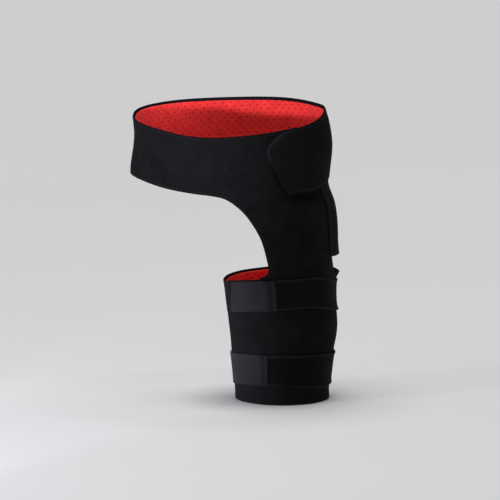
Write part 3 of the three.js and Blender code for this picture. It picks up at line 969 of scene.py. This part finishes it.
def perforated_lining():
    """Red lining with small holes on a diamond lattice, 13.3 mm apart in rows 6.5 mm apart, that
    slants a little over the cloth."""
    finish = Finish("red lining", Sheen_Weight=0.06, Specular_IOR_Level=0.3)
    across, level = finish.cloth_parts()
    down = level + across * 0.07
    hole_gap, pair_gap = 0.133, 0.13
    hole_radius, hole_end = 0.009, 0.015

    def lattice(shift):
        """Distance from the nearest hole of an upright lattice, shifted by a share of its gaps."""
        dx = (across * (1 / hole_gap) + shift).itself("FRACT")
        dy = (down * (1 / pair_gap) + shift).itself("FRACT")
        dx, dy = (dx - 0.5) * hole_gap, (dy - 0.5) * pair_gap
        return (dx * dx + dy * dy).itself("SQRT")

    first, second = lattice(0.0), lattice(0.5)
    near = first.math("MINIMUM", first, second)
    hole = 1 - near.between(hole_radius, hole_end)
    place = finish.place()
    mottle = finish.noise(place, scale=60, detail=3)
    weave = finish.cells(place, scale=1400)
    deep, bright = (0.76, 0.025, 0.021, 1), (0.9, 0.036, 0.03, 1)
    pierced = finish.blend(
        hole, finish.blend(mottle.between(0.35, 0.65), deep, bright), (0.2, 0.005, 0.006, 1)
    )
    # The tone paints shade: where it is 1 the lining is darkened to a dim red
    finish.feed(
        Base_Color=finish.blend(finish.tone(), pierced, (0.03, 0.008, 0.01, 1)),
        Roughness=0.75 + 0.15 * weave,
        Normal=finish.bump(weave * 0.5 + mottle * 0.4 - hole * 0.8, 0.0005, 0.8),
    )
    return finish.material


def woven_elastic():
    """Black elastic: fine ribs along the strap and a crosswise weft."""
    finish = Finish("black elastic", Specular_IOR_Level=0.05)
    across, down = finish.cloth_parts()
    rib = (down * 560).itself("SINE")
    weft = (across * 900).itself("SINE")
    place = finish.place()
    grain = finish.noise(place, scale=700)
    broad = finish.noise(place, scale=40)
    deep, faded = (0.0040, 0.0040, 0.0043, 1), (0.0062, 0.0062, 0.0067, 1)
    colour = finish.blend(broad.between(0.3, 0.7), deep, faded)
    # The tone paints a highlight along the elastic's raised edges
    finish.feed(
        Base_Color=finish.blend(finish.tone(), colour, (0.02, 0.02, 0.022, 1)),
        Roughness=0.62 + 0.2 * grain,
        Normal=finish.bump(rib * 0.35 + weft * 0.2 + grain * 0.4, 0.0003, 0.8),
    )
    return finish.material


def tab_backing():
    """Smooth grey back of a hook tab, finely stippled."""
    finish = Finish("grey tab", Specular_IOR_Level=0.06)
    place = finish.place()
    broad = finish.noise(place, scale=30)
    stipple = finish.cells(place, scale=900)
    deep, pale = (0.0150, 0.0148, 0.0160, 1), (0.0190, 0.0188, 0.0205, 1)
    colour = finish.blend(broad.between(0.3, 0.7), deep, pale)
    # The tone paints shade, darkening the tab in its dip before the fold
    finish.feed(
        Base_Color=finish.blend(finish.tone(), colour, (0.003, 0.003, 0.0036, 1)),
        Roughness=0.5 + 0.15 * broad,
        Normal=finish.bump(stipple * 0.5 + broad * 0.5, 0.0002, 0.6),
    )
    return finish.material


def sewing_thread():
    """Dark thread with a faint twist."""
    finish = Finish("dark thread", Specular_IOR_Level=0.3)
    twist = finish.noise(finish.place(), scale=1500, detail=1)
    colour = finish.blend(twist, (0.006, 0.006, 0.007, 1), (0.02, 0.02, 0.023, 1))
    finish.feed(Base_Color=colour, Roughness=0.6 + 0.2 * twist)
    return finish.material


def hook_tape():
    """Black tape covered with small hooks."""
    finish = Finish("hook tape", Specular_IOR_Level=0.4)
    hooks = finish.cells(finish.place(), scale=700)
    colour = finish.blend(hooks, (0.004, 0.004, 0.005, 1), (0.016, 0.016, 0.018, 1))
    bump = finish.bump(hooks, 0.0006)
    finish.feed(Base_Color=colour, Roughness=0.5 + 0.3 * hooks, Normal=bump)
    return finish.material


def pale_floor():
    """Plain pale floor, faintly uneven."""
    finish = Finish("pale floor", Specular_IOR_Level=0.1)
    cloudy = finish.noise(finish.place(), scale=3)
    colour = finish.blend(cloudy, (0.88, 0.88, 0.885, 1), (0.9, 0.9, 0.9, 1))
    finish.feed(Base_Color=colour, Roughness=0.85 + 0.05 * cloudy)
    return finish.material


KNIT, RED, ELASTIC = knit_face(), perforated_lining(), woven_elastic()
TAB, THREAD, HOOKS = tab_backing(), sewing_thread(), hook_tape()


def dress(piece, material, slot, *nodes):
    """Gives a piece its material, its body and the CAD nodes that it stands for."""
    piece.data.materials.append(material)
    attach(piece, "root")
    if nodes:
        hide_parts(*nodes)
    return piece


def turned_lining():
    """A small round of lining that shows on the rolled rim behind the hip: a square grid drawn
    out to a disc, each side shortened by the root of 1 - half the other's square."""
    line = np.linspace(-1, 1, 9)
    u, v = np.meshgrid(line, line, indexing="ij")
    angle = TURNED_ANGLE + TURNED_HALF_ANGLE * u * np.sqrt(1 - v * v / 2)
    z = cuff_rim(TURNED_ANGLE) - TURNED_DROP - TURNED_RADIUS * v * np.sqrt(1 - u * u / 2)

    def lift(angle, z):
        return main_lift(angle, z) + rim_roll(angle, z)

    # Painted shade: a tone of 1 darkens the whole round of lining to a dim red
    def painted_shade(distance, angle, z):
        return 1 + 0 * z

    inner, outer = LAMINATE - TURNED_SUNK, LAMINATE + TURNED_PROUD
    patch = cloth("turned_lining", Sheet(angle, z), lift, inner, outer, tone=painted_shade)
    return dress(patch, RED, "lining")


def make_laminate(
    name, sheet, lift, relief, tone, low=-np.inf, seam=None, reach_from=-400
):
    """A black shell, its red lining and its sewn edge. The lining begins at the low angle, runs on
    to the seam, and reaches towards the rims as its table says, by a smooth step in height."""
    shell = cloth(name + "_shell", sheet, lift, SHELL_INSIDE, LAMINATE, relief, tone)
    dress(shell, KNIT, "neoprene", name)
    inner = sheet.inside(LINING_LINE, low, seam=seam)
    angle, z = inner.angle, inner.z
    at_waist = smooth(z - waist_rim(angle), *REACH_TO_RIM)
    at_waist = at_waist * smooth(angle, reach_from, reach_from + LINING_REACH_TURN)
    at_cuff = smooth(z - cuff_rim(angle), *REACH_TO_RIM) * smooth(-angle, *CUFF_REACH_TURN)
    at_cuff = at_cuff * (z < CUFF_START)
    inner.z = z + at_waist * along(LINING_REACH, angle) + CUFF_REACH * at_cuff
    red = cloth(name + "_red_lining", inner, lift, 0, LINING)
    dress(red, RED, "lining", name + "_lining")
    thread = dress(edge_stitches(name + "_stitches", sheet, lift, relief), THREAD, "neoprene")


main = main_sheet()
rear = rear_sheet()
wing = wing_sheet()
turned = turned_lining()
make_laminate(
    "main_panel", main, main_lift, panel_edge, panel_light_and_shade, seam=BELT_SEAM
)
make_laminate(
    "rear_belt", rear, tip_lift, tip_edge, tip_light_and_shade, low=TIP_ROOT, seam=REAR_SEAM, reach_from=-30
)
make_laminate("rear_wing", wing, wing_lift, wing_edge, wing_painted_light)

under_tip = rear.inside(LINING_LINE, high=PATCH_END)
patch = cloth("hook_patch", under_tip, tip_lift, 0, PATCH_THICKNESS)
dress(patch, HOOKS, "hooks", "belt_hook_patch")


def make_strap(name, height, sink, end, tab_end, lap, slant):
    """An elastic strap and the grey tab that closes it. The tab climbs onto the strap's end, dips,
    and ends in a rounded sewn fold."""
    fold = end + thigh_sweep(lap)

    def tab_lift(angle, z):
        climb = smooth(angle, end - TAB_CLIMB, end - TAB_CLIMB_END)
        return LAMINATE + STRAP_GAP + (STRAP_THICKNESS + BOND_GAP) * climb

    def tab_relief(distance, angle, z):
        return bells(angle - fold, TAB_FOLD)

    # Painted shade in the tab's dip before its fold
    def tab_painted_shade(distance, angle, z):
        return bells(angle - fold, TAB_PAINTED_SHADE)

    band_count, flap_count = 40, 28
    edges = STRAP_EDGES[name]
    band = band_sheet(end, STRAP_SEWN, band_count, edges, height, sink)
    strap = cloth(name + "_elastic", band, strap_lift, 0, STRAP_THICKNESS, selvedge, selvedge_highlight)
    dress(strap, ELASTIC, "elastic", name + "_strap")
    flap = band_sheet(tab_end, fold, flap_count, edges, height, sink, slant)
    tab = cloth(name + "_grey_tab", flap, tab_lift, 0, TAB_THICKNESS, tab_relief, tab_painted_shade)
    dress(tab, TAB, "hook_backing", name + "_hook_tab")
    long = (fold - tab_end + slant / 2) / thigh_sweep(1)
    long * MM


for strap_name, row in STRAPS.items():
    make_strap(strap_name, *row)

# The floor, just below the hem
FLOOR_GAP = 0.2
FLOOR_REACH = 12.0
floor_mesh = bpy.data.meshes.new("floor")
level = -(HIP_DROP + CUFF_HEIGHT + FLOOR_GAP) * MM
ways = ((-1, -1), (1, -1), (1, 1), (-1, 1))
corners = [(x * FLOOR_REACH, y * FLOOR_REACH, level) for x, y in ways]
floor_mesh.from_pydata(corners, [], [(0, 1, 2, 3)])
floor = bpy.data.objects.new("floor", floor_mesh)
bpy.context.collection.objects.link(floor)
floor_mesh.materials.append(pale_floor())

# The camera stands at the photograph's height, far enough away to see almost in parallel
TARGET = np.array([0.0318, 0.0, -0.1837])
VIEW_DISTANCE = 40.0
VIEW_HEIGHT = np.radians(10)
FRAME_WIDTH = 0.8375
SENSOR_WIDTH = 36

camera_data = bpy.data.cameras.new("camera")
camera_data.sensor_width = SENSOR_WIDTH
camera_data.lens = SENSOR_WIDTH * VIEW_DISTANCE / FRAME_WIDTH
camera = bpy.data.objects.new("camera", camera_data)
camera.location = TARGET + VIEW_DISTANCE * np.array([0, -np.cos(VIEW_HEIGHT), np.sin(VIEW_HEIGHT)])
camera.rotation_euler = (np.pi / 2 - VIEW_HEIGHT, 0, 0)
bpy.context.collection.objects.link(camera)
bpy.context.scene.camera = camera


def lamp(name, kind, place, aim, power, **settings):
    """A light at a place in metres, turned towards its aim."""
    data = bpy.data.lights.new(name, kind)
    data.energy = power
    for key, value in settings.items():
        setattr(data, key, value)
    light = bpy.data.objects.new(name, data)
    light.location = place
    x, y, z = np.subtract(aim, place)
    light.rotation_euler = (np.arctan2(np.hypot(x, y), -z), 0, np.arctan2(-x, y))
    bpy.context.collection.objects.link(light)


# A soft light from the wearer's right, narrow ones on the belt and the leg, one over the near rim
# on the band of lining below the far rim, one down inside, a faint one from behind on the braced
# side, and an even light from above
cool = {"color": (0.87, 0.83, 1.0)}
wide = {"shadow_soft_size": 0.05, "spot_blend": 1, **cool}
sharp = {**wide, "spot_blend": 0.3}
lamp("side", "AREA", (-1.65, -0.95, 0.0), (0, 0, -0.15), 12, size=0.5, **cool)
lamp("front", "SPOT", (-0.82, -1.6, 0.0), (-0.02, 0, 0), 110, spot_size=0.25, **wide)
lamp("leg", "SPOT", (-0.9, -1.55, -0.41), (-0.178, 0.08, -0.35), 170, spot_size=0.33, **sharp)
lamp("band", "SPOT", (0.88, -0.95, 0.57), (-0.08, 0.085, 0.22), 115, spot_size=0.3, **wide)
lamp("inside", "SPOT", (0.5, -0.1, 0.75), (-0.14, 0, 0.03), 3, spot_size=0.42, spot_blend=1)
lamp("behind", "AREA", (1.9, 0.6, 0.5), (0.1, 0, -0.1), 0.6, size=0.8)
lamp("above", "SUN", (0, 0.1, 2), (0, 0, 0), 2.05, angle=0.8)

world = bpy.data.worlds.new("studio")
world.use_nodes = True
background = world.node_tree.nodes["Background"]
background.inputs["Color"].default_value = (1, 1, 1, 1)
background.inputs["Strength"].default_value = 0.05
bpy.context.scene.world = world
bpy.context.scene.view_settings.view_transform = "Standard"
